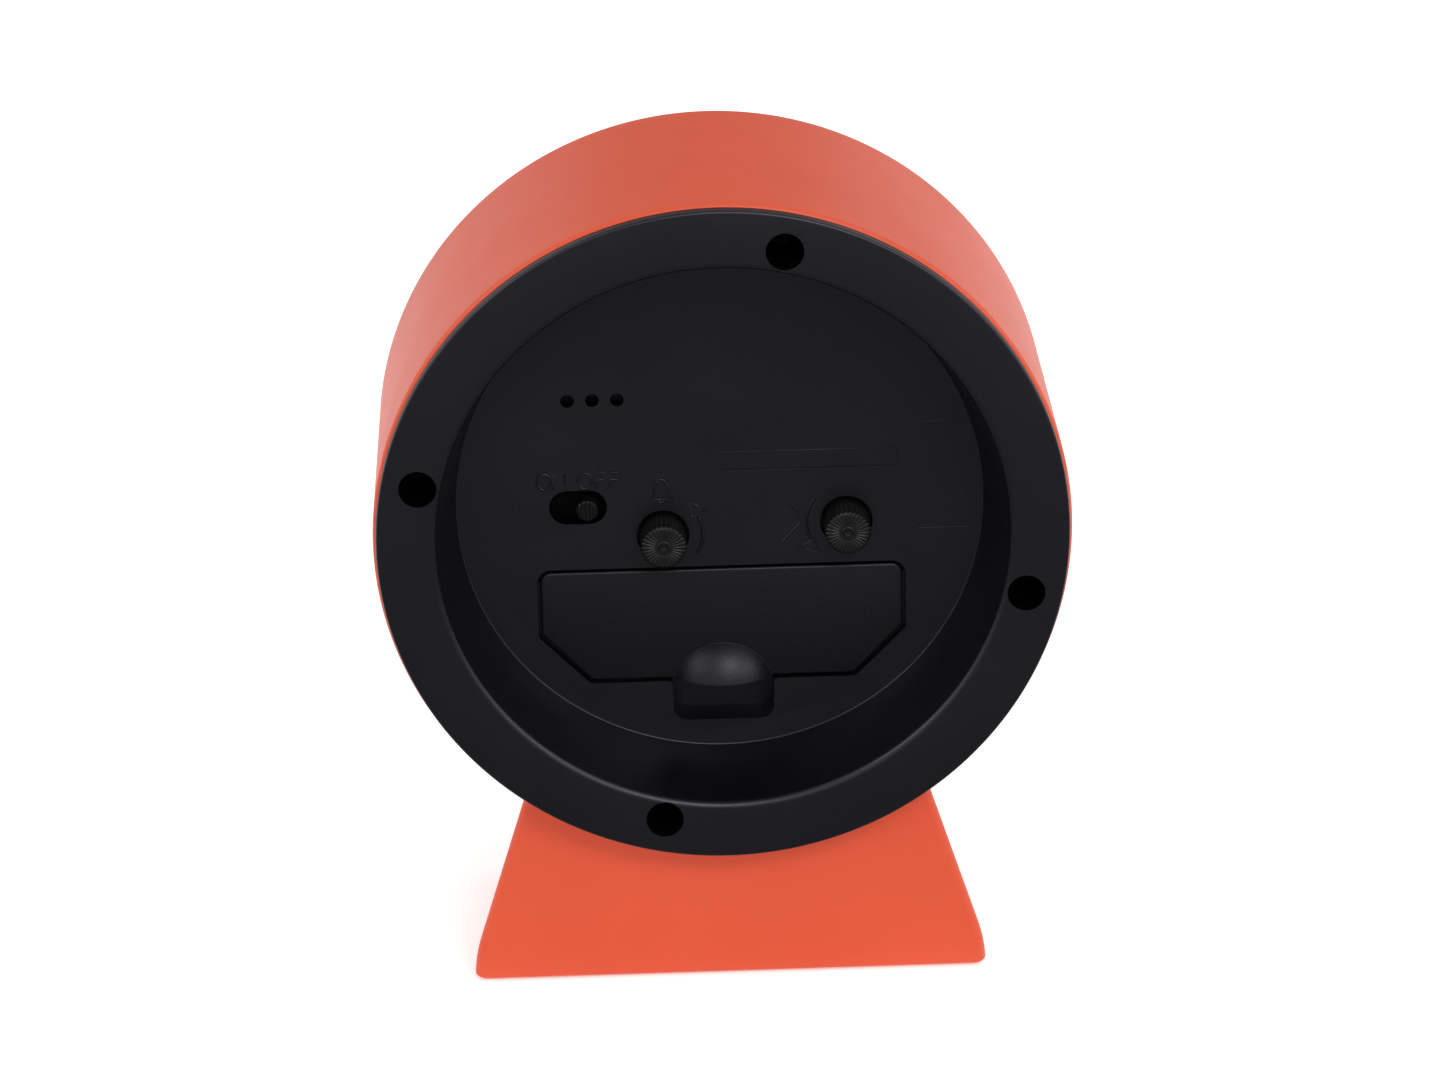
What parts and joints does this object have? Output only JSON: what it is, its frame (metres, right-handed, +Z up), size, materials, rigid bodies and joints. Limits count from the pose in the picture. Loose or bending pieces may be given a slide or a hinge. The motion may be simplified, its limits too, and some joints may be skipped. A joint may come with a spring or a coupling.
{
  "type": "desk alarm clock",
  "caption": "Round drum-shaped quartz alarm clock on a flared foot, with a recessed rear cover holding setting knobs, alarm switch and battery door.",
  "frame": {"origin": "on the table surface, under the middle of the foot", "axes": "+Z up, the dial faces -Y and the rear cover faces +Y, +X to the right as seen from the front"},
  "size_m": [0.116, 0.054, 0.14],
  "materials": {
    "orange_plastic": "satin moulded",
    "black_plastic": "satin, finely textured",
    "rubber": "matte",
    "clear_plastic": "clear",
    "cream_plastic": "matte",
    "pale_plastic": "satin",
    "green_plastic": "satin",
    "steel": "plated",
    "copper": "bright",
    "battery_jacket": "gloss",
    "black_hand": "matte",
    "orange_hand": "matte"
  },
  "bodies": {
    "clock": {"drum_case": "orange_plastic", "foot": "orange_plastic", "foot_base_plate": "black_plastic", "foot_pad": "rubber", "foot_screws": "steel", "lens": "clear_plastic", "dial_spacer_ring": "cream_plastic", "dial": "cream_plastic", "dial_retaining_ring": "pale_plastic", "rear_cover": "black_plastic", "cover_screws": "steel", "battery": "battery_jacket", "positive_contact": "steel", "negative_contact": "steel", "movement_rear_case": "pale_plastic", "movement_front_case": "pale_plastic", "gear_plate": "pale_plastic", "movement_screws": "steel", "coil_bobbin": "green_plastic", "coil_winding": "copper", "coil_core": "steel", "stator": "steel", "stator_screws": "steel", "switch_contacts": "copper", "circuit_board": "green_plastic", "chip_cover": "black_plastic", "quartz_crystal": "steel", "buzzer": "black_plastic", "board_screws": "steel"},
    "second_hand": {"seconds_wheel": "pale_plastic", "second_hand": "orange_hand"},
    "rotor": {"rotor_magnet": "steel", "rotor_pinion": "pale_plastic"},
    "fifth_wheel": {"fifth_wheel": "pale_plastic"},
    "third_wheel": {"third_wheel": "pale_plastic"},
    "centre_wheel": {"centre_wheel": "pale_plastic"},
    "minute_hand": {"cannon_pinion": "pale_plastic", "minute_hand": "black_hand"},
    "minute_wheel": {"minute_wheel": "pale_plastic"},
    "hour_hand": {"hour_wheel": "pale_plastic", "hour_hand": "black_hand"},
    "time_knob": {"time_set_gear": "pale_plastic", "time_knob": "black_plastic"},
    "alarm_hand": {"alarm_wheel": "pale_plastic", "alarm_hand": "orange_hand"},
    "alarm_knob": {"alarm_set_gear": "pale_plastic", "alarm_knob": "black_plastic"},
    "alarm_switch": {"alarm_switch_slider": "black_plastic"},
    "battery_door": {"battery_door": "black_plastic"}
  },
  "joints": [
    {"name": "second_hand_spin", "type": "hinge", "parent": "clock", "child": "second_hand", "pos_m": [0, 0, 0.082], "axis": [0, 1, 0], "continuous": true},
    {"name": "rotor_spin", "type": "hinge", "parent": "clock", "child": "rotor", "pos_m": [-0.01341, 0, 0.08375], "axis": [0, 1, 0], "continuous": true},
    {"name": "fifth_wheel_spin", "type": "hinge", "parent": "clock", "child": "fifth_wheel", "pos_m": [-0.00789, 0, 0.07913], "axis": [0, 1, 0], "continuous": true},
    {"name": "third_wheel_spin", "type": "hinge", "parent": "clock", "child": "third_wheel", "pos_m": [0.00148, 0, 0.09037], "axis": [0, 1, 0], "continuous": true},
    {"name": "centre_wheel_spin", "type": "hinge", "parent": "clock", "child": "centre_wheel", "pos_m": [0, 0, 0.082], "axis": [0, 1, 0], "continuous": true},
    {"name": "minute_hand_spin", "type": "hinge", "parent": "clock", "child": "minute_hand", "pos_m": [0, 0, 0.082], "axis": [0, 1, 0], "continuous": true},
    {"name": "minute_wheel_spin", "type": "hinge", "parent": "clock", "child": "minute_wheel", "pos_m": [-0.00944, 0, 0.08027], "axis": [0, 1, 0], "continuous": true},
    {"name": "hour_hand_spin", "type": "hinge", "parent": "clock", "child": "hour_hand", "pos_m": [0, 0, 0.082], "axis": [0, 1, 0], "continuous": true},
    {"name": "time_knob_spin", "type": "hinge", "parent": "clock", "child": "time_knob", "pos_m": [-0.02124, 0, 0.0781], "axis": [0, 1, 0], "continuous": true},
    {"name": "alarm_hand_spin", "type": "hinge", "parent": "clock", "child": "alarm_hand", "pos_m": [0, 0, 0.082], "axis": [0, 1, 0], "continuous": true},
    {"name": "alarm_knob_spin", "type": "hinge", "parent": "clock", "child": "alarm_knob", "pos_m": [0.00973, 0, 0.07645], "axis": [0, 1, 0], "continuous": true},
    {"name": "alarm_switch_slide", "type": "slide", "parent": "clock", "child": "alarm_switch", "axis": [1, 0, 0], "range_m": [0, 0.003]},
    {"name": "battery_door_hinge", "type": "hinge", "parent": "clock", "child": "battery_door", "pos_m": [0, 0.00845, 0.0691], "axis": [1, 0, 0], "range_deg": [0, 80]}
  ],
  "couplings": [
    {"joint": "rotor_spin", "follows": "second_hand_spin", "ratio": 30},
    {"joint": "fifth_wheel_spin", "follows": "second_hand_spin", "ratio": -6},
    {"joint": "third_wheel_spin", "follows": "second_hand_spin", "ratio": -0.13333},
    {"joint": "centre_wheel_spin", "follows": "second_hand_spin", "ratio": 0.016667},
    {"joint": "minute_wheel_spin", "follows": "minute_hand_spin", "ratio": -0.33333},
    {"joint": "hour_hand_spin", "follows": "minute_hand_spin", "ratio": 0.083333},
    {"joint": "time_knob_spin", "follows": "minute_hand_spin", "ratio": 0.5},
    {"joint": "alarm_knob_spin", "follows": "alarm_hand_spin", "ratio": -3}
  ]
}
